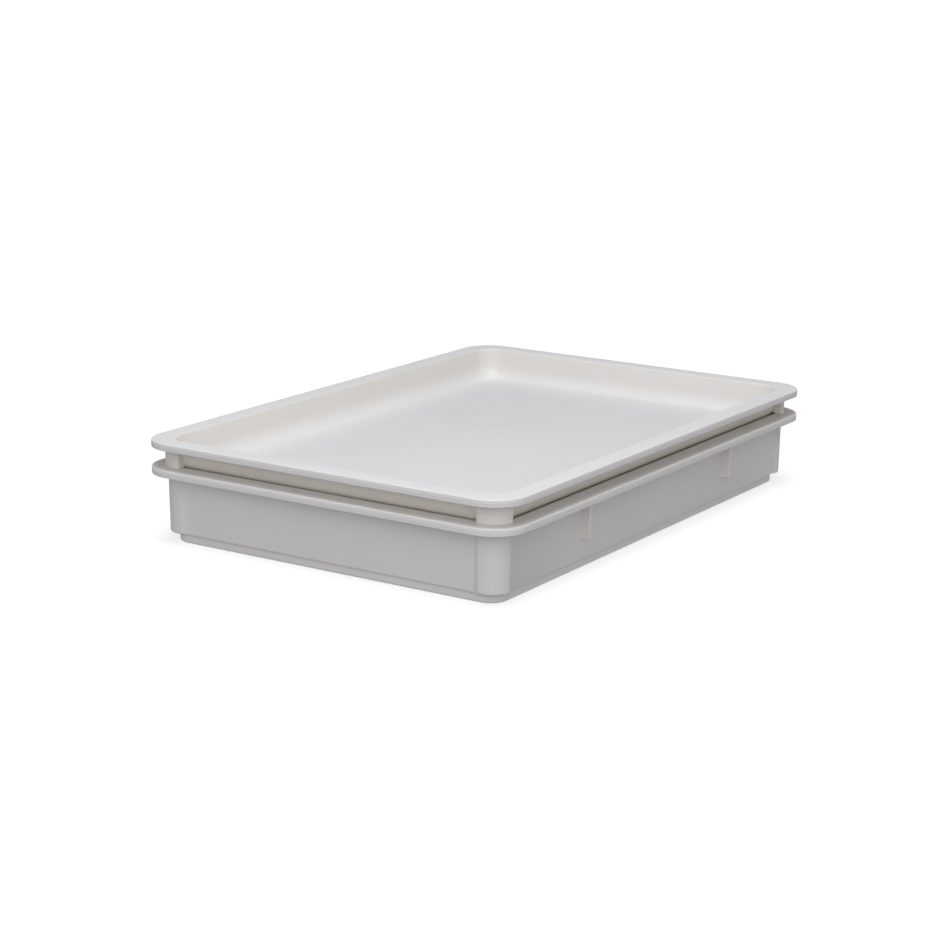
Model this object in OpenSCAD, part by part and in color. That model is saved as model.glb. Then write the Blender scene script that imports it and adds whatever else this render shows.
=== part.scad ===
// Stacking crate of white moulded plastic with a dished tray lid.
// Two mouldings: the crate, and the lid that stands on its rim on four corner posts.
// Millimetres. The origin is the centre of the crate's foot, +X runs along the length, +Z is up.
//
// Both mouldings follow rounded rectangles. A section through a wall is a list of [inset, z]
// points, where inset is the distance in from the outside edge of the rims.

/* [Footprint] */
// Outside length of the rims
rim_l = 660; // [560:5:700]
// Outside width of the rims
rim_w = 457; // [420:1:500]
// Outside corner radius of the rims
rim_r = 38; // [36:1:42]

/* [Rims] */
// Height of a rim's outside face
rim_h = 7.9; // [6:0.1:9]
// Thickness of a rim's flat top
rim_t = 3; // [2.5:0.1:3.5]
// Thickness of the lip that turns down along a rim's edge
lip_t = 2.6; // [2:0.1:3]
// Rounding along a rim's outside top edge
rim_edge_r = 1.2; // [0.8:0.1:1.6]

/* [Crate] */
// Height of the crate from the foot to the top of its rim
crate_h = 82.5; // [75:0.5:100]
// Height of the stepped-in foot that drops into the crate or lid below
foot_h = 10.5; // [8:0.5:12]
// Inset of the foot
foot_in = 25.6; // [25:0.1:26.5]
// Corner radius of the foot
foot_r = 19; // [17:1:20]
// Rounding under the foot
foot_edge_r = 2.5; // [1.5:0.1:3]
// Inset of the walls just under the rim
wall_top_in = 20.7; // [20.5:0.1:21]
// Inset of the walls just above the foot
wall_foot_in = 22.2; // [22:0.1:22.5]
// Thickness of the walls
wall_t = 3; // [2.8:0.1:3.3]
// Thickness of the floor
floor_t = 3; // [2.5:0.1:4]
// Radius of the cove between the floor and the walls
crate_cove_r = 14; // [12:1:15]

/* [Crate posts and ribs] */
// Inset of the crate's corner posts just under the rim
post_top_in = 17.1; // [16.5:0.1:17.5]
// Inset of the crate's corner posts at their foot
post_foot_in = 18.3; // [18:0.1:19]
// How far a post runs on along the short side, past the corner's arc
post_run = 4.5; // [4:0.5:8]
// Length of the ramp from the post back to the wall
post_ramp = 6.5; // [5:0.5:8]
// Rounding along the bottom edge of a post
post_edge_r = 2.5; // [1.5:0.1:3]
// Distance between the two ribs on a long side
rib_pitch = 308; // [240:2:340]
// Thickness of a rib
rib_t = 5.3; // [4:0.1:7]
// Inset of a rib's outside edge
rib_in = 9.2; // [8:0.1:11]
// Height of a rib's foot above the floor that the crate stands on
rib_foot_z = 34.5; // [30:0.5:40]

/* [Lid] */
// Height of the lid from the underside of its dish to the top of its rim
lid_h = 38.1; // [36:0.1:42]
// How far the lid's dish drops into the crate
nest = 9.5; // [8:0.1:10]
// Width of the lid's flat rim
lid_flat = 20.2; // [20:0.1:21.5]
// Corner radius of the opening in the lid's rim
dish_r = 28; // [26:0.5:30]
// Slope of the dish's wall, in degrees from upright
dish_slope = 10; // [6:1:12]
// Radius of the cove between the dish's wall and its floor
dish_cove_r = 20; // [16:1:22]
// Thickness of the dish
dish_t = 3; // [2.8:0.1:3.2]
// Inset of the lid's corner posts
lid_post_in = 14.5; // [14:0.1:15]
// Thickness of the lid's corner posts
lid_post_t = 3; // [2.5:0.1:3.2]
// How far a lid post runs on along the short side, past the corner's arc
lid_post_run = 6; // [3:0.5:7]

/* [Hidden] */
$fn = 96;
plastic_crate = [0.86, 0.86, 0.85];
plastic_lid = [0.90, 0.90, 0.88];
join = 1;                                   // overlap that fuses neighbouring shapes
opening_r = 1.2;                            // rounding round the crate's opening
dish_edge_r = 2;                            // rounding round the lid's opening
arc_steps = 8;                              // straight steps in a large arc of a section
edge_steps = 3;                             // straight steps in a small edge rounding
rib_rise = 1.6;                             // a rib's foot rises this much towards its outside edge
cavity_cc = foot_in + foot_r;               // inset of the corner axes of the foot and the cavity
dish_cc = lid_flat + dish_r;                // inset of the corner axes of the lid's dish
lid_top_z = crate_h + lid_h - nest;
lid_under_z = lid_top_z - lid_h;
web_sink = 6;                               // how far a lid post's webs sink into the dish's corner
web_in = lid_flat + dish_t + lid_post_t + web_sink; // inset that a lid post's webs reach

// Points on an arc round [inset, z], from angle a0 to a1, where 0 degrees points to larger inset.
function arc(centre, r, a0, a1, steps) =
    [for (k = [0:steps]) centre + r * [cos(a0 + (a1 - a0) * k / steps), sin(a0 + (a1 - a0) * k / steps)]];

// A section's [inset, z] points measured outwards from an axis at inset cc.
function outwards(section, cc) = [for (p = section) [cc - p[0], p[1]]];

// A quarter turn of a section round the corner axis nearest to +X +Y.
module corner_turn(section, cc) {
    translate([rim_l / 2 - cc, rim_w / 2 - cc, 0])
        rotate_extrude(angle = 90) polygon(outwards(section, cc));
}

// A straight run of a section along the +X side, from y0 to y1.
module side_run(section, y0, y1, half) {
    translate([half, y0, 0]) rotate([90, 0, 180]) mirror([1, 0, 0])
        linear_extrude(y1 - y0) polygon([for (p = section) [-p[0], p[1]]]);
}

// Copies a shape from the +X +Y corner to all four corners.
module four_corners() {
    for (mx = [0, 1], my = [0, 1]) mirror([mx, 0, 0]) mirror([0, my, 0]) children();
}

// A closed section swept all the way round, with its corners about the axes at inset cc.
module ring(section, cc) {
    four_corners() corner_turn(section, cc);
    for (m = [0, 1]) mirror([m, 0, 0])
        side_run(section, -rim_w / 2 + cc, rim_w / 2 - cc, rim_l / 2);
    for (m = [0, 1]) mirror([0, m, 0]) rotate(90)
        side_run(section, -rim_l / 2 + cc, rim_l / 2 - cc, rim_w / 2);
}

// A solid whose sides follow an open section, given from the bottom up, and whose ends are flat.
module tub(section, cc) {
    low = section[0][1];
    high = section[len(section) - 1][1];
    filled = concat(section, [[cc, high], [cc, low]]);
    across = concat(section, [[rim_w / 2, high], [rim_w / 2, low]]);
    four_corners() corner_turn(filled, cc);
    for (m = [0, 1]) mirror([m, 0, 0])
        side_run(filled, -rim_w / 2 + cc, rim_w / 2 - cc, rim_l / 2);
    for (m = [0, 1]) mirror([0, m, 0]) rotate(90)
        side_run(across, -rim_l / 2 + cc, rim_l / 2 - cc, rim_w / 2);
}

// The rim's section: a flat top with a rounded outside edge and a lip turned down along it.
function rim_section(top_z, inner) = concat(
    [[inner, top_z - rim_t], [lip_t, top_z - rim_t], [lip_t, top_z - rim_h], [0, top_z - rim_h]],
    arc([rim_edge_r, top_z - rim_edge_r], rim_edge_r, 180, 90, edge_steps),
    [[inner, top_z]]);

// The inside of the crate: floor, cove, wall and the rounded edge of the opening.
function cavity_section() =
    let (in_top = wall_top_in + wall_t,
         in_low = wall_foot_in + wall_t,
         cove = [in_low + crate_cove_r, floor_t + crate_cove_r])
    concat(
        arc(cove, crate_cove_r, 270, 180, arc_steps),
        arc([in_top - opening_r, crate_h - opening_r], opening_r, 0, 90, edge_steps),
        [[in_top - opening_r, crate_h + join]]);

// One surface of the dish, grow millimetres outside its inner surface: the cove and the wall's
// tangent point. The wall leans out by dish_slope and meets the rim in a small rounding.
function dish_cove(grow) =
    let (wall_in = lid_flat + dish_edge_r * (1 - sin(dish_slope)) / cos(dish_slope),
         cove_z = lid_under_z + dish_t + dish_cove_r,
         wall_drop = lid_top_z - cove_z + dish_cove_r * sin(dish_slope),
         lean_in = wall_in + wall_drop * tan(dish_slope) + dish_cove_r * cos(dish_slope),
         cove_in = round(lean_in * 100) / 100)
    arc([cove_in, cove_z], dish_cove_r + grow, 270, 180 + dish_slope, arc_steps);

// The inside of the dish, up through the opening in the rim.
function dish_inside() = concat(dish_cove(0),
    arc([lid_flat, lid_top_z - dish_edge_r], dish_edge_r, dish_slope, 90, edge_steps),
    [[lid_flat, lid_top_z + join]]);

// The outside of the dish, up into the rim.
function dish_outside() =
    let (cove = dish_cove(dish_t), last = cove[len(cove) - 1], top_z = lid_top_z - rim_t / 2)
    concat(cove, [[last[0] - (top_z - last[1]) * tan(dish_slope), top_z]]);

// A crate post's section, from the wall out to the face of the post.
function post_section() = concat(
    [[cavity_cc - join, foot_h]],
    arc([post_foot_in + post_edge_r, foot_h + post_edge_r], post_edge_r, 270, 180, edge_steps),
    [[post_top_in, crate_h - rim_t + join / 2], [cavity_cc - join, crate_h - rim_t + join / 2]]);

// A corner post: the corner's arc, then a short run along the short side that ramps back.
module crate_post() {
    turn_cc = rim_r;
    run_y = rim_w / 2 - turn_cc;
    side = [for (p = post_section()) [min(p[0], wall_foot_in + wall_t / 2), p[1]]];
    corner_turn([for (p = post_section()) [min(p[0], turn_cc), p[1]]], turn_cc);
    difference() {
        side_run(side, run_y - post_run - post_ramp, run_y + join, rim_l / 2);
        translate([rim_l / 2 - wall_foot_in, run_y - post_run - post_ramp, -join])
            rotate(-atan(post_ramp / (wall_foot_in - post_top_in)))
            translate([0, -2 * post_run, 0]) cube([4 * post_run, 2 * post_run, crate_h]);
    }
}

// A gusset rib on the +Y side, between the wall and the underside of the rim.
module rib() {
    high = crate_h - rim_t + join / 2;
    root = wall_foot_in + wall_t / 2;
    translate([-rib_t / 2, rim_w / 2, 0]) rotate([90, 0, 90]) linear_extrude(rib_t)
        polygon([[-root, rib_foot_z], [-rib_in, rib_foot_z + rib_rise], [-rib_in, high], [-root, high]]);
}

module crate_body() {
    color(plastic_crate) difference() {
        union() {
            tub([[wall_foot_in, foot_h], [wall_top_in, crate_h - rim_t / 2]], rim_r);
            tub(concat(arc([foot_in + foot_edge_r, foot_edge_r], foot_edge_r, 270, 180, edge_steps),
                [[foot_in, foot_h + join]]), cavity_cc);
            ring(rim_section(crate_h, wall_top_in + wall_t), rim_r);
            four_corners() crate_post();
            for (mx = [0, 1], my = [0, 1])
                mirror([mx, 0, 0]) mirror([0, my, 0]) translate([rib_pitch / 2, 0, 0]) rib();
        }
        tub(cavity_section(), cavity_cc);
    }
}

// A lid post: a quarter shell with a short run along the short side, closed by a web at each end.
module lid_post() {
    low = crate_h;
    high = lid_top_z - rim_t + join / 2;
    run_y = rim_w / 2 - rim_r;
    run_x = rim_l / 2 - rim_r;
    shell = [[lid_post_in, low], [lid_post_in, high],
        [lid_post_in + lid_post_t, high], [lid_post_in + lid_post_t, low]];
    corner_turn(shell, rim_r);
    side_run(shell, run_y - lid_post_run, run_y + join, rim_l / 2);
    translate([rim_l / 2 - web_in, run_y - lid_post_run, low])
        cube([web_in - lid_post_in, lid_post_t, high - low]);
    translate([run_x, rim_w / 2 - web_in, low])
        cube([lid_post_t, web_in - lid_post_in, high - low]);
}

module crate_lid() {
    color(plastic_lid) difference() {
        union() {
            tub(dish_outside(), dish_cc);
            tub([[lip_t / 2, lid_top_z - rim_t], [lip_t / 2, lid_top_z - rim_edge_r]], rim_r);
            ring(rim_section(lid_top_z, rim_r - join), rim_r);
            four_corners() lid_post();
        }
        tub(dish_inside(), dish_cc);
    }
}

crate_body();
crate_lid();
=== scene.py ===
# %% [markdown]
# # A stacking crate with its tray lid, in white moulded plastic
#
# The real object is two injection mouldings. The crate has walls, a floor, a foot that nests, an
# all-round rim, four corner posts and four gusset ribs. The lid is a shallow tray with the same rim,
# and it stands on the crate's rim on four hollow corner posts.
#
# Both are closed skins of nearly even thickness that follow rounded rectangles. So each one is made
# by one rule in Geometry Nodes: a section is carried round a rounded rectangle. This lesson writes
# the rule once and uses it twice.

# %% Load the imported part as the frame
import math

import bpy
import mathutils
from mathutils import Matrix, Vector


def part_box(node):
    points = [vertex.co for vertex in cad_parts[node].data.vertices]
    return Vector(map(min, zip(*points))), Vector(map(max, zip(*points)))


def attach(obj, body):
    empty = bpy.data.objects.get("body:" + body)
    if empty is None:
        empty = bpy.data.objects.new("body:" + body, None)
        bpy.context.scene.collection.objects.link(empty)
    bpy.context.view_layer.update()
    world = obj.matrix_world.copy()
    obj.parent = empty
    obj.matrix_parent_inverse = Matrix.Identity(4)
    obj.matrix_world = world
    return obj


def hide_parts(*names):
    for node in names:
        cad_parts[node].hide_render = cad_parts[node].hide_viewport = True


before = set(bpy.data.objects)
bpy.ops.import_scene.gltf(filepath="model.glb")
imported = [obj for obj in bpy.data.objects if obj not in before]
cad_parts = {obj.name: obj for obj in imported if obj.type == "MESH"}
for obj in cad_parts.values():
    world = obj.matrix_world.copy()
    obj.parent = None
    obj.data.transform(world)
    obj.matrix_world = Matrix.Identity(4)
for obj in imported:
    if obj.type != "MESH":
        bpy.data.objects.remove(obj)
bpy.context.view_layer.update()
MM = 0.001

# %% [markdown]
# ## Sizes
#
# The lengths come from the part's own boxes wherever a box gives them, so the looks fit the part
# with nothing to adjust. The other sizes are the design values of the two mouldings, in
# millimetres. An inset is a distance in from the outside edge of the rims.

# %% Sizes of the two mouldings
low_crate, high_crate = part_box("crate_body")
low_lid, high_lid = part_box("crate_lid")
rim_length = (high_crate.x - low_crate.x) / MM
rim_width = (high_crate.y - low_crate.y) / MM
crate_top = high_crate.z / MM
lid_top = high_lid.z / MM
lid_bottom = low_lid.z / MM
rim_radius = 38.0
rim_height = 7.9
rim_plate = 3.0
lip_thickness = 2.6
foot_height = 10.5
foot_inset = 25.6
foot_radius = 19.0
wall_insets = (20.7, 22.2)
wall_thickness = 3.0
post_insets = (17.1, 18.3)
rib_pitch = 308.0
rib_width = 5.3
rib_inset = 9.2
rib_bottom = 34.5
rib_rise = 1.6
lid_flat = 20.2
dish_radius = 28.0
dish_slope = 10.0
dish_cove = 20.0
dish_thickness = 3.0
lid_post_inset = 14.5
print(f"rims {rim_length:.1f} x {rim_width:.1f} mm, crate {crate_top:.1f} mm high,", end=" ")
print(f"lid to {lid_top:.1f} mm")

# %% [markdown]
# ## Sections
#
# A section is a list of rows. Each row is one line that runs all the way round the moulding. It
# has an inset and a height, and the inset of the axis that its corners turn about. The rim and the
# crate's outside turn about one axis. The crate's inside, its foot and the lid's dish turn about
# others that lie further in.
#
# Sharp edges never occur on a moulding, so every edge of the section is a small arc. A plain row is
# set close to each end of an arc, which keeps the soft shading inside the arc and leaves the flat
# faces flat. The values called support say how close.

# %% Arcs in a section
def arc(centre, radius, start, end, steps):
    """Points [inset, height] on an arc; 0 degrees points to a larger inset, 90 degrees points up."""
    points = []
    for step in range(steps + 1):
        turn = math.radians(start + (end - start) * step / steps)
        points.append([centre[0] + radius * math.cos(turn), centre[1] + radius * math.sin(turn)])
    return points


def along(start, end, share):
    """The point that lies a share of the way from start to end."""
    return [start[0] + (end[0] - start[0]) * share, start[1] + (end[1] - start[1]) * share]


def row(plain, axis, post=None, rib=None, spread=1.0):
    """One row of a section. A post and a rib may move it, and spread 0 draws it in to the middle."""
    return {"plain": plain, "post": post or plain, "rib": rib or plain, "axis": axis, "spread": spread}


def rows(points, axis):
    return [row(point, axis) for point in points]


middle_spreads = (0.0, 0.35, 0.7)


def closed_middle(inset, height, axis):
    """Rows that close a floor, from the middle outwards."""
    inner = [row([inset, height], axis, spread=spread) for spread in middle_spreads]
    return inner + [row([inset, height], axis)]


print("a floor closes with", len(closed_middle(0.0, 0.0, 0.0)), "rows")

# %% [markdown]
# ## The rim's section
#
# Both mouldings have the same rim: a flat plate whose outside edge turns down into a lip. The lip's
# outside face has a parting line at half its height, where the two halves of the mould meet, and
# each half tapers away from it a little so that the moulding comes out. That is why the rim has a
# faint line along its face.

# %% The rim, from the top of its outside edge to the inside of its lip
edge_radius = 1.2
lip_radius = 0.8
rim_taper = 0.14
upper_taper = 0.9 * rim_taper
parting_above = (0.02, 0.25)
parting_below = (0.05, 0.2)
support = 0.5


def rim_rows(top):
    bottom = top - rim_height
    middle = (top + bottom) / 2
    low = lip_radius + rim_taper
    points = [[edge_radius + rim_taper + support, top]]
    points += arc([edge_radius + rim_taper, top - edge_radius], edge_radius, 90, 180, 5)
    points += [[upper_taper, top - edge_radius - support]]
    points += [[parting_above[0], middle + parting_above[1]], [0.0, middle]]
    points += [[parting_below[0], middle - parting_below[1]]]
    points += [[rim_taper, bottom + lip_radius + support]]
    points += arc([low, bottom + lip_radius], lip_radius, 180, 270, 4)
    points += arc([lip_thickness - lip_radius, bottom + lip_radius], lip_radius, 270, 360, 3)
    points += [[lip_thickness, bottom + lip_radius + support]]
    inner = [lip_thickness + edge_radius, top - rim_plate - edge_radius]
    points += [[lip_thickness, inner[1] - support / 2]]
    points += arc(inner, edge_radius, 180, 90, 3)
    points += [[inner[0] + support, top - rim_plate]]
    return rows(points, rim_radius)


print("rim rows:", len(rim_rows(crate_top)))

# %% [markdown]
# ## The crate's section
#
# It starts at the middle of the floor, goes up the inside of the wall, round the rim, down the
# outside and back to the middle underneath. Outside, each row has three versions: on the plain
# wall, on a corner post and on a rib. The surface changes from one version to another as it goes
# round, so posts and ribs grow out of the wall with a fillet, as they do on a moulding.
#
# The inside is plain: a flat floor, a cove that a scraper can follow, and a wall that leans out a
# little so that the mould comes free.

# %% Inside of the crate
cavity_axis = foot_inset + foot_radius
cavity_middle = cavity_axis - 1.5
cove_radius = 14.0
cove_support = 1.2
floor_top = 3.0
opening_radius = 1.2
wall_ends = (0.02, 0.98)
inner_insets = (wall_insets[0] + wall_thickness, wall_insets[1] + wall_thickness)


def crate_inside():
    cove = [inner_insets[1] + cove_radius, floor_top + cove_radius]
    wall_low = [inner_insets[1], cove[1]]
    wall_high = [inner_insets[0], crate_top - opening_radius]
    points = [[cove[0] + cove_support, floor_top]]
    points += arc(cove, cove_radius, 270, 180, 12)
    points += [along(wall_low, wall_high, share) for share in wall_ends]
    points += arc([inner_insets[0] - opening_radius, wall_high[1]], opening_radius, 0, 90, 4)
    points += [[inner_insets[0] - opening_radius - support, crate_top]]
    return closed_middle(cavity_middle, floor_top, cavity_axis) + rows(points, cavity_axis)


print("rows inside the crate:", len(crate_inside()))

# %% [markdown]
# Under the rim, the wall, a post and a rib each start with the same fillet. Only the insets differ:
# a rib reaches well out towards the lip, a post stands a little proud and the wall lies behind them
# both. The wall and the posts lean in towards the foot, which is the draft of the mould.

# %% Under the rim, on the wall, a post and a rib
junction = 1.5
root_turns = (90, 67, 45, 22, 0)
post_edge = 2.5


def wall_at(height):
    top = crate_top - rim_plate / 2
    share = (top - height) / (top - foot_height)
    return [wall_insets[0] + (wall_insets[1] - wall_insets[0]) * share, height]


def post_at(height):
    top = crate_top - rim_plate
    share = (top - height) / (top - foot_height - post_edge)
    return [post_insets[0] + (post_insets[1] - post_insets[0]) * min(share, 1.0), height]


def rim_root(inset):
    """The end of the rim's underside and the fillet that leads down to a side at this inset."""
    under = crate_top - rim_plate
    points = [[inset - (junction + support), under]]
    for turn in root_turns:
        bend = math.radians(turn)
        out = inset - (junction - junction * math.cos(bend))
        points.append([out, under - junction + junction * math.sin(bend)])
    return points


def under_the_rim():
    under = crate_top - rim_plate
    roots = [rim_root(inset) for inset in (wall_at(under)[0], post_at(under)[0], rib_inset)]
    return [row(wall, rim_radius, post, rib) for wall, post, rib in zip(*roots)]


print("rows under the rim:", len(under_the_rim()))

# %% [markdown]
# A gusset rib stiffens the rim. It ends about two thirds of the way down the wall, and its underside
# rises a little from its root to its nose. Each of its rows needs a partner on the plain wall, so
# the wall gets a row at nearly the same height.

# %% Down a rib and the wall beside it
rib_edge = 0.9
nose_drops = (-0.1, 0.4, 0.8, 1.2)
root_drops = (-0.3, 0.0, 0.4, 0.8, 1.2, junction)
root_lead = (0.3, 0.15)
below_rib = 3.0


def down_a_rib():
    nose = [rib_inset + rib_edge, rib_bottom + rib_rise + rib_edge]
    root = wall_at(rib_bottom)[0] - junction
    spots = [[rib_inset, crate_top - rim_plate - junction - support], [rib_inset, nose[1] + support]]
    heights = [spots[0][1], spots[1][1]]
    spots += arc(nose, rib_edge, 180, 270, 3)
    heights += [nose[1] - drop for drop in nose_drops]
    spots += [[root - root_lead[0], rib_bottom + root_lead[1]], [root, rib_bottom]]
    spots += arc([root, rib_bottom - junction], junction, root_turns[1], 0, 3)
    heights += [rib_bottom - drop for drop in root_drops]
    made = [
        row(wall_at(height), rim_radius, post_at(height), spot) for height, spot in zip(heights, spots)
    ]
    clear = rib_bottom - below_rib
    return made + [row(wall_at(clear), rim_radius, post_at(clear))]


print("rows down a rib:", len(down_a_rib()))

# %% [markdown]
# At the bottom the walls and the posts turn in to the shoulder that the crate stands on when it is
# stacked. The foot goes on down from there, and it drops into the opening of the crate below.

# %% The shoulder and the foot
wall_edge = 0.9
wall_support = 0.3
post_support = 1.0
foot_root = 1.0
foot_edge = 2.5


def shoulder():
    wall_low = arc([wall_insets[1] + wall_edge, foot_height + wall_edge], wall_edge, 180, 270, 5)
    post_low = arc([post_insets[1] + post_edge, foot_height + post_edge], post_edge, 180, 270, 5)
    wall_high = wall_at(foot_height + wall_edge + support)
    made = [row(wall_high, rim_radius, post_at(foot_height + post_edge + post_support))]
    made += [row(wall, rim_radius, post) for wall, post in zip(wall_low, post_low)]
    wall_in = [wall_low[-1][0] + wall_support, foot_height]
    post_in = [post_low[-1][0] + post_support, foot_height]
    return made + [row(wall_in, rim_radius, post_in)]


def crate_foot():
    step = [[foot_inset - (foot_root + wall_support), foot_height]]
    step += arc([foot_inset - foot_root, foot_height - foot_root], foot_root, 90, 0, 3)
    step += [[foot_inset, foot_height - foot_root - support], [foot_inset, foot_edge + support]]
    step += arc([foot_inset + foot_edge, foot_edge], foot_edge, 180, 270, 6)
    step += [[foot_inset + foot_edge + post_support, 0.0]]
    return rows(step, cavity_axis) + closed_middle(cavity_middle, 0.0, cavity_axis)[::-1]


crate_section = crate_inside() + rim_rows(crate_top) + under_the_rim() + down_a_rib()
crate_section += shoulder() + crate_foot()
print("rows of the crate:", len(crate_section))

# %% [markdown]
# ## The lid's section
#
# The tray's wall leans out and runs into its floor in a wide cove, so that the tray wipes clean and
# can take goods itself. The wall is of even thickness, so the outside follows the inside.

# %% The lid, from the middle of the tray round the rim to the middle underneath
dish_axis = lid_flat + dish_radius
dish_middle = dish_axis - 1.0
dish_edge = 2.0
dish_support = 2.0
dish_wall_ends = (0.08, 0.95)
shell_wall_ends = (0.12, 0.97)


def dish_cove_centre():
    lean = math.radians(dish_slope)
    wall = lid_flat + dish_edge * (1 - math.sin(lean)) / math.cos(lean)
    height = lid_bottom + dish_thickness + dish_cove
    drop = lid_top - height + dish_cove * math.sin(lean)
    return [wall + drop * math.tan(lean) + dish_cove * math.cos(lean), height]


def lid_rows():
    centre = dish_cove_centre()
    floor = lid_bottom + dish_thickness
    cove = arc(centre, dish_cove, 270, 180 + dish_slope, 16)
    lip = arc([lid_flat, lid_top - dish_edge], dish_edge, dish_slope, 90, 6)
    inside = [[centre[0] + dish_support, floor]] + cove
    inside += [along(cove[-1], lip[0], share) for share in dish_wall_ends] + lip
    inside += [[lid_flat - support, lid_top]]
    under = lid_top - rim_plate
    shell = arc(centre, dish_cove + dish_thickness, 180 + dish_slope, 270, 14)
    top = shell[0][0] - (under - shell[0][1]) * math.tan(math.radians(dish_slope))
    outside = [[top - junction - support, under]]
    outside += arc([top - junction, under - junction], junction, 90, dish_slope, 4)
    outside += [along([top, under], shell[0], share) for share in shell_wall_ends] + shell
    outside += [[centre[0] + dish_support, lid_bottom]]
    made = closed_middle(dish_middle, floor, dish_axis) + rows(inside, dish_axis)
    made += rim_rows(lid_top) + rows(outside, dish_axis)
    return made + closed_middle(dish_middle, lid_bottom, dish_axis)[::-1]


lid_section = lid_rows()
print("rows of the lid:", len(lid_section))

# %% [markdown]
# The lid's posts are added later, and their ends have to stop inside the tray's wall, or they would
# show in the tray. So there is one more section: a solid bowl whose side lies in the middle of that
# wall. It is only a tool to cut with.

# %% The bowl that the posts are cut with
bowl_margin = 2.0


def mid_wall_rows():
    """A solid bowl whose sides lie in the middle of the tray's wall, to cut the posts' ends with."""
    centre = dish_cove_centre()
    grow = dish_cove + dish_thickness / 2
    side = arc(centre, grow, 270, 180 + dish_slope, 14)
    head = lid_top + bowl_margin
    lean = math.tan(math.radians(dish_slope))
    side += [[side[-1][0] - (head - side[-1][1]) * lean, head]]
    made = closed_middle(dish_middle, head, dish_axis) + rows(side[::-1], dish_axis)
    return made + closed_middle(dish_middle, centre[1] - grow, dish_axis)[::-1]


print("rows of the bowl:", len(mid_wall_rows()))

# %% [markdown]
# ## Stations
#
# A station is a place on the way round. It knows which corner it belongs to, which way the surface
# faces there, how far it lies beyond the corner's arc, and what share of a post or a rib it takes.
# One quarter is written out, and the other three are its mirror images.

# %% Ramps at the ends of a post, and the outline of a rib
ramp_steps = 4


def soft_ramp(start, end, rounding):
    """(distance, share) pairs, from share 1 at start to share 0 at end, with both ends rounded."""
    slope = 1 / (end - start)
    offsets = [-rounding + 2 * rounding * step / ramp_steps for step in range(ramp_steps + 1)]
    pairs = [(start + x, 1 - slope * (x + rounding) ** 2 / (4 * rounding)) for x in offsets]
    return pairs + [(end + x, slope * (x - rounding) ** 2 / (4 * rounding)) for x in offsets]


def rib_outline(depth):
    """(distance from the rib's middle, share) pairs across a rib, with filleted roots."""
    half = rib_width / 2
    left = arc([-half - junction, junction], junction, 270, 360, 4)
    left = [[-half - junction - support, 0.0]] + left + [[-half, junction + support]]
    left += [[-half, depth - rib_edge - support]]
    left += arc([-half + rib_edge, depth - rib_edge], rib_edge, 180, 90, 3)
    left += [[-half + rib_edge + support, depth]]
    right = [[-x, out] for x, out in reversed(left)]
    return [(x, max(0.0, min(1.0, out / depth))) for x, out in left + right]


print("stations across a rib:", len(rib_outline(rib_width)))

# %% [markdown]
# A corner post goes round the whole corner and a little way along both sides. On the short side it
# fades into the wall over a few millimetres, and on the long side it ends almost at once. The ribs
# stand on the long sides only.

# %% Stations on one quarter, and all round
arc_steps = 28
short_ramp = (4.5, 11.0)
short_rounding = 0.7
long_ramp = (0.5, 1.4)
long_rounding = 0.35
post_overlap = 0.2


def station(facing, beyond=(0.0, 0.0), post=0.0, rib=0.0):
    return {"facing": facing, "beyond": beyond, "post": post, "rib": rib}


def quarter(with_posts):
    made = []
    if with_posts:
        for distance, share in reversed(soft_ramp(*short_ramp, short_rounding)):
            made.append(station((1, 0), (0, -distance), share))
        made.append(station((1, 0), (0, -short_ramp[0] / 2), 1.0))
    for step in range(arc_steps + 1):
        turn = math.radians(90 * step / arc_steps)
        made.append(station((math.cos(turn), math.sin(turn)), post=1.0))
    if with_posts:
        made.append(station((0, 1), (post_overlap, 0), 1.0))
        for distance, share in soft_ramp(*long_ramp, long_rounding):
            made.append(station((0, 1), (-distance, 0), share))
        rib_middle = rim_length / 2 - rim_radius - rib_pitch / 2
        depth = wall_at((crate_top + rib_bottom) / 2)[0] - rib_inset
        for distance, share in rib_outline(depth):
            made.append(station((0, 1), (-rib_middle - distance, 0), 0.0, share))
    return made


def all_round(one):
    """The quarter at +X +Y, then its mirror images, in order round the moulding."""
    made = []
    for sign_x, sign_y in ((1, 1), (-1, 1), (-1, -1), (1, -1)):
        part = one if sign_x == sign_y else list(reversed(one))
        for spot in part:
            fx, fy = spot["facing"]
            bx, by = spot["beyond"]
            made.append(
                {
                    "corner": (sign_x, sign_y, 0),
                    "facing": (fx * sign_x, fy * sign_y, 0),
                    "beyond": (bx * sign_x * MM, by * sign_y * MM, 0),
                    "post": spot["post"],
                    "rib": spot["rib"],
                }
            )
    return made


crate_stations = all_round(quarter(True))
lid_stations = all_round(quarter(False))
print("stations:", len(crate_stations), "round the crate,", len(lid_stations), "round the lid")

# %% [markdown]
# ## Handing the rule's data to Geometry Nodes
#
# The rows and the stations become two small meshes of loose points that carry named attributes.
# The tree reads them through Object Info, so no number of the shape is hidden inside the tree.

# %% Point meshes that carry the rows and the stations
def point_carrier(name, count, vectors, numbers):
    mesh = bpy.data.meshes.new(name)
    mesh.from_pydata([(0, 0, 0)] * count, [], [])
    for key, values in vectors.items():
        attribute = mesh.attributes.new(key, "FLOAT_VECTOR", "POINT")
        attribute.data.foreach_set("vector", [float(x) for value in values for x in value])
    for key, values in numbers.items():
        attribute = mesh.attributes.new(key, "FLOAT", "POINT")
        attribute.data.foreach_set("value", [float(x) for x in values])
    carrier = bpy.data.objects.new(name, mesh)
    bpy.context.scene.collection.objects.link(carrier)
    return carrier


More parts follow.
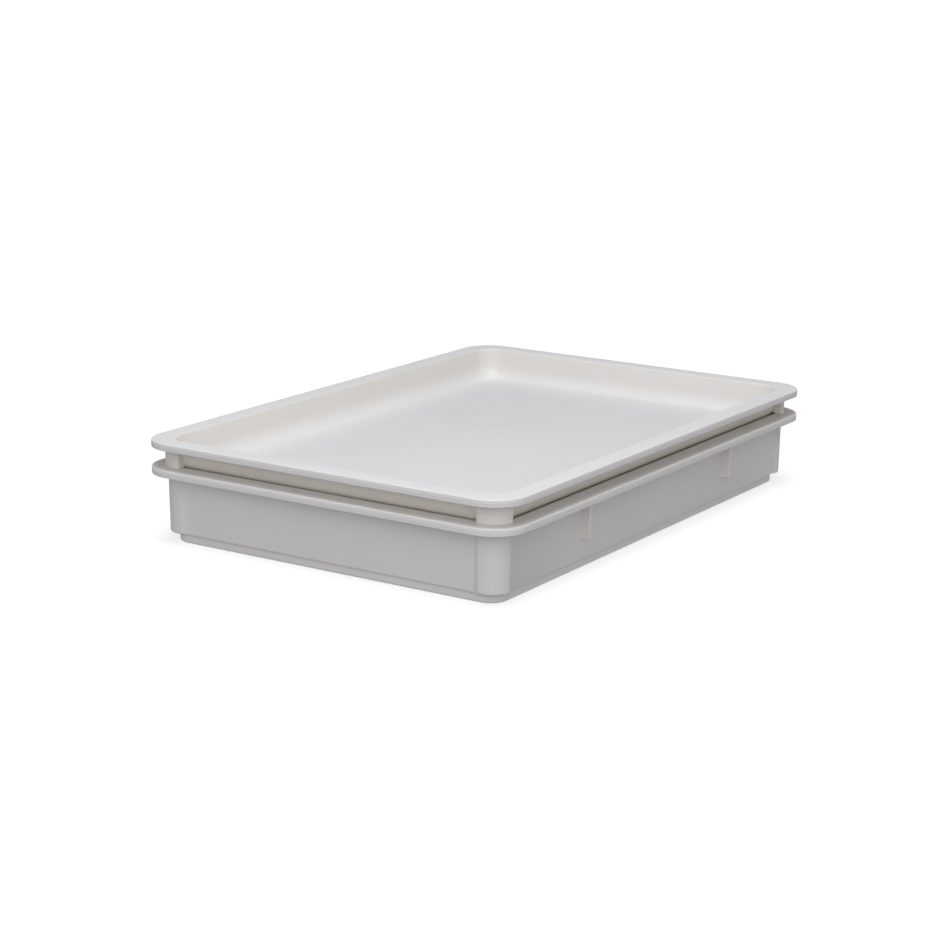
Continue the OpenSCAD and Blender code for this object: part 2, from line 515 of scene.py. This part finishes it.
def section_carrier(name, section):
    vectors = {
        key: [(r[key][0] * MM, 0, r[key][1] * MM) for r in section] for key in ("plain", "post", "rib")
    }
    numbers = {"axis": [r["axis"] * MM for r in section], "spread": [r["spread"] for r in section]}
    return point_carrier(name, len(section), vectors, numbers)


def station_carrier(name, stations):
    vectors = {key: [s[key] for s in stations] for key in ("corner", "facing", "beyond")}
    numbers = {"post_share": [s["post"] for s in stations], "rib_share": [s["rib"] for s in stations]}
    return point_carrier(name, len(stations), vectors, numbers)


print("a carrier holds one loose point for each row or station")

# %% [markdown]
# ## Small helpers for building node trees
#
# A tree is built by adding nodes one at a time. Each helper adds one kind of node, feeds its inputs
# with a value or with another node's output, and returns the output.

# %% Node helpers
def add(tree, kind, feeds=None, **settings):
    made = tree.nodes.new(kind)
    for key, value in settings.items():
        setattr(made, key, value)
    for key, value in (feeds or {}).items():
        if isinstance(value, bpy.types.NodeSocket):
            tree.links.new(value, made.inputs[key])
        else:
            made.inputs[key].default_value = value
    return made


def math_node(tree, operation, a, b=0.0):
    return add(tree, "ShaderNodeMath", {0: a, 1: b}, operation=operation).outputs[0]


def whole(tree, operation, a, b):
    return add(tree, "FunctionNodeIntegerMath", {0: a, 1: b}, operation=operation).outputs[0]


def vector_node(tree, operation, a, b):
    return add(tree, "ShaderNodeVectorMath", {0: a, 1: b}, operation=operation).outputs[0]


def scaled(tree, a, factor):
    return add(tree, "ShaderNodeVectorMath", {0: a, "Scale": factor}, operation="SCALE").outputs[0]


def blended(tree, share, a, b):
    made = add(tree, "ShaderNodeMix", data_type="VECTOR")
    vector_sockets = [s for s in made.inputs if s.type == "VECTOR" and s.name in ("A", "B")]
    tree.links.new(share, made.inputs["Factor"])
    tree.links.new(a, vector_sockets[0])
    tree.links.new(b, vector_sockets[1])
    return [s for s in made.outputs if s.type == "VECTOR"][0]


def new_tree(name, inputs):
    tree = bpy.data.node_groups.new(name, "GeometryNodeTree")
    tree.interface.new_socket("Geometry", in_out="OUTPUT", socket_type="NodeSocketGeometry")
    for label, (kind, value) in inputs.items():
        socket = tree.interface.new_socket(label, in_out="INPUT", socket_type="NodeSocket" + kind)
        if value is not None:
            socket.default_value = value
    return tree, tree.nodes.new("NodeGroupInput"), tree.nodes.new("NodeGroupOutput")


def mesh_of(tree, chosen):
    """The mesh of the object that is chosen in the modifier."""
    return add(tree, "GeometryNodeObjectInfo", {"Object": chosen}).outputs["Geometry"]


def read(tree, geometry, key, index, kind="FLOAT_VECTOR"):
    """The value of a named attribute at one point of a carrier."""
    named = add(tree, "GeometryNodeInputNamedAttribute", {"Name": key}, data_type=kind)
    feeds = {"Geometry": geometry, "Index": index}
    sample = add(tree, "GeometryNodeSampleIndex", feeds, data_type=kind, domain="POINT")
    tree.links.new(named.outputs["Attribute"], sample.inputs["Value"])
    return sample.outputs["Value"]


def shaded(tree, geometry, angle):
    """Smooth shading, except across edges that turn more than the angle."""
    faces = add(tree, "GeometryNodeSetShadeSmooth", {"Geometry": geometry, "Shade Smooth": True})
    bend = tree.nodes.new("GeometryNodeInputMeshEdgeAngle").outputs["Unsigned Angle"]
    over = {"data_type": "FLOAT", "operation": "GREATER_THAN"}
    sharp = add(tree, "FunctionNodeCompare", {0: bend, 1: angle}, **over).outputs[0]
    feeds = {"Geometry": faces.outputs[0], "Selection": sharp, "Shade Smooth": False}
    return add(tree, "GeometryNodeSetShadeSmooth", feeds, domain="EDGE").outputs[0]


def painted(tree, geometry, plastic):
    """The geometry with its material, which ends a tree."""
    feeds = {"Geometry": geometry, "Material": plastic}
    return add(tree, "GeometryNodeSetMaterial", feeds).outputs[0]


print("helpers: add, math, whole, vector, scaled, blended, mesh_of, read, shaded, painted")

# %% [markdown]
# ## The rule: a section carried round a rounded rectangle
#
# A flat grid has one line of points for each row and one column for each station. Every point finds
# its row and its station from its index, and is then set to its place: out to the corner's axis,
# out again from the axis in the direction that the surface faces, and along the straight side. Last,
# points in the same place are merged, which closes the seam and the two middles.

# %% The tree that carries a section round
def moulding_tree():
    sizes = {
        "Length": ("Float", 0.66),
        "Width": ("Float", 0.457),
        "Weld distance": ("Float", 0.00001),
        "Crease angle": ("Float", math.radians(40)),
        "Section": ("Object", None),
        "Stations": ("Object", None),
        "Plastic": ("Material", None),
    }
    tree, given, result = new_tree("section_carried_round", sizes)
    section = mesh_of(tree, given.outputs["Section"])
    stops = mesh_of(tree, given.outputs["Stations"])
    row_count = add(tree, "GeometryNodeAttributeDomainSize", {0: section}).outputs["Point Count"]
    stop_count = add(tree, "GeometryNodeAttributeDomainSize", {0: stops}).outputs["Point Count"]
    columns = whole(tree, "ADD", stop_count, 1)
    grid = add(tree, "GeometryNodeMeshGrid", {"Vertices X": row_count, "Vertices Y": columns})
    index = tree.nodes.new("GeometryNodeInputIndex").outputs[0]
    row_index = whole(tree, "DIVIDE", index, columns)
    stop_index = whole(tree, "MODULO", whole(tree, "MODULO", index, columns), stop_count)

    post_share = read(tree, stops, "post_share", stop_index, "FLOAT")
    rib_share = read(tree, stops, "rib_share", stop_index, "FLOAT")
    plain, post, rib = [read(tree, section, key, row_index) for key in ("plain", "post", "rib")]
    point = blended(tree, rib_share, blended(tree, post_share, plain, post), rib)
    axis = read(tree, section, "axis", row_index, "FLOAT")
    spread = read(tree, section, "spread", row_index, "FLOAT")
    split = add(tree, "ShaderNodeSeparateXYZ", {0: point})

    halves = [math_node(tree, "MULTIPLY", given.outputs[key], 0.5) for key in ("Length", "Width")]
    corner_x, corner_y = [math_node(tree, "SUBTRACT", half, axis) for half in halves]
    to_axis = add(tree, "ShaderNodeCombineXYZ", {0: corner_x, 1: corner_y}).outputs[0]
    place = vector_node(tree, "MULTIPLY", to_axis, read(tree, stops, "corner", stop_index))
    reach = math_node(tree, "SUBTRACT", axis, split.outputs[0])
    place = vector_node(tree, "ADD", place, scaled(tree, read(tree, stops, "facing", stop_index), reach))
    place = vector_node(tree, "ADD", place, read(tree, stops, "beyond", stop_index))
    up = add(tree, "ShaderNodeCombineXYZ", {2: split.outputs[2]}).outputs[0]
    place = vector_node(tree, "ADD", scaled(tree, place, spread), up)

    skin = add(tree, "GeometryNodeSetPosition", {"Geometry": grid.outputs["Mesh"], "Position": place})
    feeds = {"Geometry": skin.outputs[0], "Distance": given.outputs["Weld distance"]}
    skin = add(tree, "GeometryNodeMergeByDistance", feeds)
    skin = add(tree, "GeometryNodeRealizeInstances", {0: skin.outputs[0]})
    skin = shaded(tree, skin.outputs[0], given.outputs["Crease angle"])
    tree.links.new(painted(tree, skin, given.outputs["Plastic"]), result.inputs[0])
    return tree


carry_round = moulding_tree()
print("nodes in the rule:", len(carry_round.nodes))

# %% [markdown]
# ## The lid's corner posts
#
# A post is a strip of plastic that stands on edge under the rim: it comes out of the tray's wall,
# follows the corner and goes back in. So it is a rectangle swept along a path. One post is made, and
# mirror images give the other three. A mirrored mesh is inside out, so its faces are flipped.
# A union joins the posts to the tray, so that the lid stays one skin with nothing hidden in it.

# %% The tree that adds the posts
bend_steps = 4
edge_steps = 3


def mirrored(tree, geometry, scale):
    """The geometry and its mirror image, both with their faces outwards."""
    other = add(tree, "GeometryNodeTransform", {"Geometry": geometry, "Scale": scale}).outputs[0]
    other = add(tree, "GeometryNodeFlipFaces", {"Mesh": other}).outputs[0]
    both = tree.nodes.new("GeometryNodeJoinGeometry")
    tree.links.new(geometry, both.inputs[0])
    tree.links.new(other, both.inputs[0])
    return both.outputs[0]


def filleted(tree, curve, radius, steps):
    """The curve with its corners rounded."""
    feeds = {"Curve": curve, "Radius": radius, "Limit Radius": True, "Count": steps}
    return add(tree, "GeometryNodeFilletCurve", feeds, mode="POLY").outputs[0]


def post_tree():
    sizes = {
        "Thickness": ("Float", 0.003),
        "Height": ("Float", 0.0265),
        "Foot height": ("Float", 0.0825),
        "Bend radius": ("Float", 0.0012),
        "Edge radius": ("Float", 0.0006),
        "Crease angle": ("Float", math.radians(40)),
        "Path": ("Object", None),
        "Tray": ("Object", None),
        "Bowl": ("Object", None),
        "Plastic": ("Material", None),
    }
    tree, given, result = new_tree("posts_under_the_lid", sizes)
    path = mesh_of(tree, given.outputs["Path"])
    path = add(tree, "GeometryNodeMeshToCurve", {"Mesh": path}).outputs[0]
    path = filleted(tree, path, given.outputs["Bend radius"], bend_steps)
    path = add(tree, "GeometryNodeSetCurveNormal", {"Curve": path}, mode="Z_UP").outputs[0]
    edge = {"Width": given.outputs["Thickness"], "Height": given.outputs["Height"]}
    edge = add(tree, "GeometryNodeCurvePrimitiveQuadrilateral", edge).outputs[0]
    edge = filleted(tree, edge, given.outputs["Edge radius"], edge_steps)
    feeds = {"Curve": path, "Profile Curve": edge, "Fill Caps": True}
    post = add(tree, "GeometryNodeCurveToMesh", feeds).outputs[0]
    lift = math_node(tree, "MULTIPLY", given.outputs["Height"], 0.5)
    lift = math_node(tree, "ADD", lift, given.outputs["Foot height"])
    lift = add(tree, "ShaderNodeCombineXYZ", {2: lift}).outputs[0]
    post = add(tree, "GeometryNodeTransform", {"Geometry": post, "Translation": lift}).outputs[0]
    posts = mirrored(tree, mirrored(tree, post, (-1, 1, 1)), (1, -1, 1))
    bowl = mesh_of(tree, given.outputs["Bowl"])
    cut = {"Mesh 1": posts, "Mesh 2": bowl}
    cut = add(tree, "GeometryNodeMeshBoolean", cut, operation="DIFFERENCE", solver="MANIFOLD")
    posts = cut.outputs["Mesh"]
    tray = mesh_of(tree, given.outputs["Tray"])
    union = add(tree, "GeometryNodeMeshBoolean", operation="UNION", solver="MANIFOLD")
    tree.links.new(tray, union.inputs["Mesh 2"])
    tree.links.new(posts, union.inputs["Mesh 2"])
    lid = add(tree, "GeometryNodeRealizeInstances", {0: union.outputs["Mesh"]})
    lid = shaded(tree, lid.outputs[0], given.outputs["Crease angle"])
    tree.links.new(painted(tree, lid, given.outputs["Plastic"]), result.inputs[0])
    return tree


add_posts = post_tree()
print("nodes in the post tree:", len(add_posts.nodes))

# %% [markdown]
# ## The finish: off-white polypropylene with a satin skin
#
# Moulded polypropylene is a milky white with a touch of warm grey. Its skin is satin, because the
# mould is finely blasted, and large faces show faint clouds where the melt flowed and cooled. So the
# colour drifts a very little over about a hand's breadth, the gloss drifts with a finer noise, and
# two bumps give the soft waviness of a large moulding and the blasted grain.

# %% A material for moulded plastic
refraction = 1.49
specular_level = 0.42
cloud_range = (0.3, 0.7)
gloss_range = (0.40, 0.50)
drift_scale = 9.0
gloss_scale = 45.0
wave_scale = 16.0
grain_scale = 1500.0


def clouds(tree, coordinates, scale, detail, roughness=0.5):
    feeds = {"Vector": coordinates, "Scale": scale, "Detail": detail, "Roughness": roughness}
    return add(tree, "ShaderNodeTexNoise", feeds).outputs[0]


def between(tree, value, low, high):
    """A cloud's value, which mostly stays within cloud_range, moved to the range from low to high."""
    feeds = {"From Min": cloud_range[0], "From Max": cloud_range[1], "To Min": low, "To Max": high}
    return add(tree, "ShaderNodeMapRange", {"Value": value, **feeds}).outputs[0]


def bumped(tree, height, strength, distance, under=None):
    """A bump of this many metres, laid over another one where there is one."""
    feeds = {"Height": height, "Strength": strength, "Distance": distance}
    if under:
        feeds["Normal"] = under
    return add(tree, "ShaderNodeBump", feeds).outputs[0]


def moulded_plastic(name, light_tone, deep_tone, turn):
    material = bpy.data.materials.new(name)
    material.use_nodes = True
    tree = material.node_tree
    shader = tree.nodes["Principled BSDF"]
    shader.inputs["IOR"].default_value = refraction
    shader.inputs["Specular IOR Level"].default_value = specular_level
    place = tree.nodes.new("ShaderNodeTexCoord").outputs["Object"]
    place = add(tree, "ShaderNodeMapping", {"Vector": place, "Rotation": (0.2, 0.3, turn)}).outputs[0]

    drift = add(tree, "ShaderNodeMix", data_type="RGBA")
    tones = [s for s in drift.inputs if s.type == "RGBA"]
    tones[0].default_value = (*light_tone, 1)
    tones[1].default_value = (*deep_tone, 1)
    share = between(tree, clouds(tree, place, drift_scale, 4.0), 0.0, 1.0)
    tree.links.new(share, drift.inputs["Factor"])
    tree.links.new([s for s in drift.outputs if s.type == "RGBA"][0], shader.inputs["Base Color"])
    gloss = between(tree, clouds(tree, place, gloss_scale, 3.0), *gloss_range)
    tree.links.new(gloss, shader.inputs["Roughness"])

    wavy = bumped(tree, clouds(tree, place, wave_scale, 2.0), 0.35, 0.0006)
    grain = bumped(tree, clouds(tree, place, grain_scale, 2.0), 0.25, 0.00006, wavy)
    tree.links.new(grain, shader.inputs["Normal"])
    return material


crate_plastic = moulded_plastic("crate_polypropylene", (0.77, 0.73, 0.67), (0.75, 0.71, 0.648), 0.4)
lid_plastic = moulded_plastic("lid_polypropylene", (0.78, 0.74, 0.68), (0.76, 0.72, 0.66), 1.1)
print("finishes:", crate_plastic.name, lid_plastic.name)

# %% [markdown]
# ## Making the two mouldings
#
# A piece starts as an empty mesh with a Geometry Nodes modifier. Its inputs are set by identifier,
# the tree runs once, and its result becomes a plain mesh. Then the modifier goes, so that what is
# left is an ordinary object at the origin. A closed skin has no open edge, so each piece's open edges
# are counted, and its volume and box are printed.

# %% Run a tree and keep its result as a plain mesh
def grown(name, tree, values):
    piece = bpy.data.objects.new(name, bpy.data.meshes.new(name))
    bpy.context.scene.collection.objects.link(piece)
    modifier = piece.modifiers.new(name, "NODES")
    modifier.node_group = tree
    sockets = {s.name: s.identifier for s in tree.interface.items_tree if s.in_out == "INPUT"}
    for label, value in values.items():
        modifier[sockets[label]] = value
    bpy.context.view_layer.update()
    graph = bpy.context.evaluated_depsgraph_get()
    mesh = bpy.data.meshes.new_from_object(piece.evaluated_get(graph), depsgraph=graph)
    piece.modifiers.remove(modifier)
    piece.data = mesh
    mesh.name = name
    return piece


def measured(piece):
    """Print the volume, open edges and box of a piece, which show whether it is one closed skin."""
    mesh = piece.data
    mesh.calc_loop_triangles()
    volume = 0.0
    for triangle in mesh.loop_triangles:
        a, b, c = [mesh.vertices[i].co for i in triangle.vertices]
        volume += a.dot(b.cross(c)) / 6
    uses = {}
    for polygon in mesh.polygons:
        for key in polygon.edge_keys:
            uses[key] = uses.get(key, 0) + 1
    open_edges = sum(1 for count in uses.values() if count != 2)
    low = [min(v.co[i] for v in mesh.vertices) / MM for i in range(3)]
    high = [max(v.co[i] for v in mesh.vertices) / MM for i in range(3)]
    print(f"{piece.name}: {len(mesh.loop_triangles)} triangles, {volume * 1e6:.0f} cm3,", end=" ")
    print(f"{open_edges} open edges, box {[round(x, 2) for x in low]} to {[round(x, 2) for x in high]}")


# %% [markdown]
# The crate is finished as soon as its section has gone round, because its posts and ribs are in the
# rule.

# %% The crate
crate_rows = section_carrier("crate_rows", crate_section)
crate_stops = station_carrier("crate_stops", crate_stations)
common = {"Length": rim_length * MM, "Width": rim_width * MM}
crate = grown(
    "crate_moulding",
    carry_round,
    {**common, "Section": crate_rows, "Stations": crate_stops, "Plastic": crate_plastic},
)
measured(crate)

# %% [markdown]
# The lid takes two turns of the same rule: one for its tray and rim, and one for the bowl that cuts
# the posts' ends. Its stations have neither posts nor ribs.

# %% The lid's tray and rim
lid_row_points = section_carrier("lid_rows", lid_section)
lid_stops = station_carrier("lid_stops", lid_stations)
tray = grown(
    "tray_skin",
    carry_round,
    {**common, "Section": lid_row_points, "Stations": lid_stops, "Plastic": lid_plastic},
)
measured(tray)

# %% The bowl that cuts the posts' ends inside the tray's wall
bowl_rows = section_carrier("bowl_rows", mid_wall_rows())
bowl = grown(
    "bowl",
    carry_round,
    {**common, "Section": bowl_rows, "Stations": lid_stops, "Plastic": lid_plastic},
)
measured(bowl)

# %% [markdown]
# The path of a post lies in the middle of its strip. It starts inside the tray's wall on the short
# side, follows the corner and ends inside the tray's wall on the long side.

# %% The path of a post
post_thickness = 3.0
post_run = 6.0
web_reach = 42.0
bend_gap = 0.3
bend_rise = 0.1


def post_path():
    middle = lid_post_inset + post_thickness / 2
    axis_x = rim_length / 2 - rim_radius
    axis_y = rim_width / 2 - rim_radius
    radius = rim_radius - middle
    short_y = axis_y - post_run + post_thickness / 2
    long_x = axis_x + post_thickness / 2
    points = [(rim_length / 2 - web_reach, short_y), (axis_x + radius, short_y)]
    for step in range(1, arc_steps):
        turn = math.radians(90 * step / arc_steps)
        if axis_x + radius * math.cos(turn) > long_x + bend_gap:
            points.append((axis_x + radius * math.cos(turn), axis_y + radius * math.sin(turn)))
    points += [(long_x, axis_y + radius - bend_rise), (long_x, rim_width / 2 - web_reach)]
    return points


path_points = [(x * MM, y * MM, 0) for x, y in post_path()]
path_mesh = bpy.data.meshes.new("post_path")
path_mesh.from_pydata(path_points, [(i, i + 1) for i in range(len(path_points) - 1)], [])
path_object = bpy.data.objects.new("post_path", path_mesh)
bpy.context.scene.collection.objects.link(path_object)
print("points on the path of a post:", len(path_points))

# %% The lid with its posts
post_height = lid_top - rim_plate / 2 - crate_top
lid = grown(
    "lid_moulding",
    add_posts,
    {
        "Thickness": post_thickness * MM,
        "Height": post_height * MM,
        "Foot height": crate_top * MM,
        "Path": path_object,
        "Tray": tray,
        "Bowl": bowl,
        "Plastic": lid_plastic,
    },
)
measured(lid)

# %% [markdown]
# ## Tidying up and joining the frame
#
# The carriers, the bowl and the bare tray have done their work. The two mouldings stand for their
# CAD nodes, and each rides on its own body, so the lid lifts off by itself.

# %% Clear away the helpers, ride and replace
for helper in (crate_rows, crate_stops, lid_row_points, lid_stops, bowl_rows, bowl, tray, path_object):
    bpy.data.objects.remove(helper)
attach(crate, "crate")
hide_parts("crate_body")
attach(lid, "lid")
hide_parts("crate_lid")
print("pieces:", crate.name, lid.name)

# %% [markdown]
# ## Floor and light
#
# A product like this stands on a seamless white floor. A white floor would throw its light up at the
# crate and wash out the sides, so this one glows for the camera alone: it is hidden from diffuse and
# glossy rays. Its glow is weaker close to the object, which leaves room for a faint shadow.

# %% A white floor
floor_reach = 40.0
floor_tone = (0.50, 0.49, 0.47, 1)
glow_near = (0.4, 0.66)
glow_far = (2.0, 0.95)


def faded(tree, value, start, end):
    """A soft change between two (value, result) pairs."""
    feeds = {"From Min": start[0], "From Max": end[0], "To Min": start[1], "To Max": end[1]}
    feeds["Value"] = value
    return add(tree, "ShaderNodeMapRange", feeds, interpolation_type="SMOOTHSTEP").outputs[0]


floor_corners = [(x * floor_reach, y * floor_reach, 0) for x, y in ((-1, -1), (1, -1), (1, 1), (-1, 1))]
floor_mesh = bpy.data.meshes.new("floor")
floor_mesh.from_pydata(floor_corners, [], [(0, 1, 2, 3)])
floor = bpy.data.objects.new("floor", floor_mesh)
bpy.context.scene.collection.objects.link(floor)
floor_paint = bpy.data.materials.new("pale_floor")
floor_paint.use_nodes = True
floor_tree = floor_paint.node_tree
floor_shader = floor_tree.nodes["Principled BSDF"]
floor_shader.inputs["Base Color"].default_value = floor_tone
floor_shader.inputs["Roughness"].default_value = 0.9
floor_shader.inputs["Emission Color"].default_value = (1, 1, 1, 1)
floor_place = floor_tree.nodes.new("ShaderNodeTexCoord").outputs["Object"]
away = add(floor_tree, "ShaderNodeVectorMath", {0: floor_place}, operation="LENGTH").outputs["Value"]
glow = faded(floor_tree, away, glow_near, glow_far)
floor_tree.links.new(glow, floor_shader.inputs["Emission Strength"])
floor_mesh.materials.append(floor_paint)
floor.visible_diffuse = False
floor.visible_glossy = False
print("floor:", 2 * floor_reach, "m square")

# %% [markdown]
# Three wide area lights stand on the side that the camera looks from: a square one above the near
# end, a large key and a smaller fill. A broad, low-contrast sun stands for the ceiling. All four
# are slightly cool, so that the faces they light come out a clean white.

# %% Soft lights
cool = (0.86, 0.908, 1.0)
ceiling_power = 1.4
ceiling_angle = math.radians(40)
near_end = (-0.42, -0.27, 0)
low_middle = (0, 0, 0.05)


def soft_light(name, size, power, place, aim, colour):
    data = bpy.data.lights.new(name, "AREA")
    data.shape = "RECTANGLE"
    data.size, data.size_y = size
    data.energy = power
    data.color = colour
    lamp = bpy.data.objects.new(name, data)
    bpy.context.scene.collection.objects.link(lamp)
    lamp.location = place
    direction = mathutils.Vector(aim) - lamp.location
    lamp.rotation_euler = direction.to_track_quat("-Z", "Y").to_euler()
    return lamp


soft_light("overhead", (0.8, 0.8), 6.2, (-0.42, -0.27, 1.5), near_end, cool)
soft_light("key", (2.4, 1.6), 18.5, (-1.45, -1.05, 1.3), low_middle, cool)
soft_light("fill", (1.6, 1.2), 4.0, (-2.2, -0.5, 1.3), low_middle, cool)
ceiling_data = bpy.data.lights.new("ceiling", "SUN")
ceiling_data.energy = ceiling_power
ceiling_data.angle = ceiling_angle
ceiling_data.color = cool
ceiling = bpy.data.objects.new("ceiling", ceiling_data)
bpy.context.scene.collection.objects.link(ceiling)

# %% [markdown]
# The world does two more jobs. Its lower half lights the sides from below, in place of the hidden
# floor. Above the horizon it is bright and a warm haze, and it grows dark and cool with height. The
# recess between the two rims sees only the bright, low part, and so it goes a warm beige.

# %% The world around
dim_zenith = (0.48, 0.12)
bright_horizon = (0.06, 1.15)
dim_ground = (-0.10, 0.32)
full_sky = (-0.04, 1.0)
haze_full = (0.10, 1.0)
haze_gone = (0.45, 0.0)
haze_below = (-0.10, 0.0)
haze_above = (-0.02, 1.0)
sky_tone = (0.73, 0.80, 1.06, 1)
haze_tone = (1.0, 0.945, 0.81, 1)

world = bpy.data.worlds.new("studio")
bpy.context.scene.world = world
world.use_nodes = True
sky_tree = world.node_tree
background = sky_tree.nodes["Background"]
upwards = sky_tree.nodes.new("ShaderNodeTexCoord").outputs["Generated"]
height = add(sky_tree, "ShaderNodeSeparateXYZ", {0: upwards}).outputs[2]
fade = faded(sky_tree, height, bright_horizon, dim_zenith)
ground = faded(sky_tree, height, dim_ground, full_sky)
sky_tree.links.new(math_node(sky_tree, "MULTIPLY", fade, ground), background.inputs["Strength"])
low_down = faded(sky_tree, height, haze_full, haze_gone)
not_below = faded(sky_tree, height, haze_below, haze_above)
haze = add(sky_tree, "ShaderNodeMix", data_type="RGBA")
haze_tones = [s for s in haze.inputs if s.type == "RGBA"]
haze_tones[0].default_value = sky_tone
haze_tones[1].default_value = haze_tone
sky_tree.links.new(math_node(sky_tree, "MULTIPLY", low_down, not_below), haze.inputs["Factor"])
sky_tree.links.new([s for s in haze.outputs if s.type == "RGBA"][0], background.inputs["Color"])
bpy.context.scene.view_settings.view_transform = "Standard"
print("world:", world.name, "with", len(sky_tree.nodes), "nodes")

# %% [markdown]
# ## Camera
#
# A long lens from a low three-quarter height, with a corner towards the viewer, shows both sides
# and a good part of the tray.

# %% The camera
camera_place = mathutils.Vector((-2.08346, -1.33374, 0.66151))
camera_direction = mathutils.Vector((0.8128994, 0.5286417, -0.2444024))
aim_distance = 2.5
camera_aim = camera_place + aim_distance * camera_direction
camera_roll = math.radians(0.56)
camera_data = bpy.data.cameras.new("camera")
camera_data.sensor_width = 36.0
camera_data.lens = 86.78
camera_data.clip_end = 200.0
camera = bpy.data.objects.new("camera", camera_data)
bpy.context.scene.collection.objects.link(camera)
camera.location = camera_place
look = (camera_aim - camera_place).to_track_quat("-Z", "Y").to_matrix()
camera.rotation_euler = (look @ mathutils.Matrix.Rotation(camera_roll, 3, "Z")).to_euler()
bpy.context.scene.camera = camera
print("camera at", [round(x, 3) for x in camera.location])
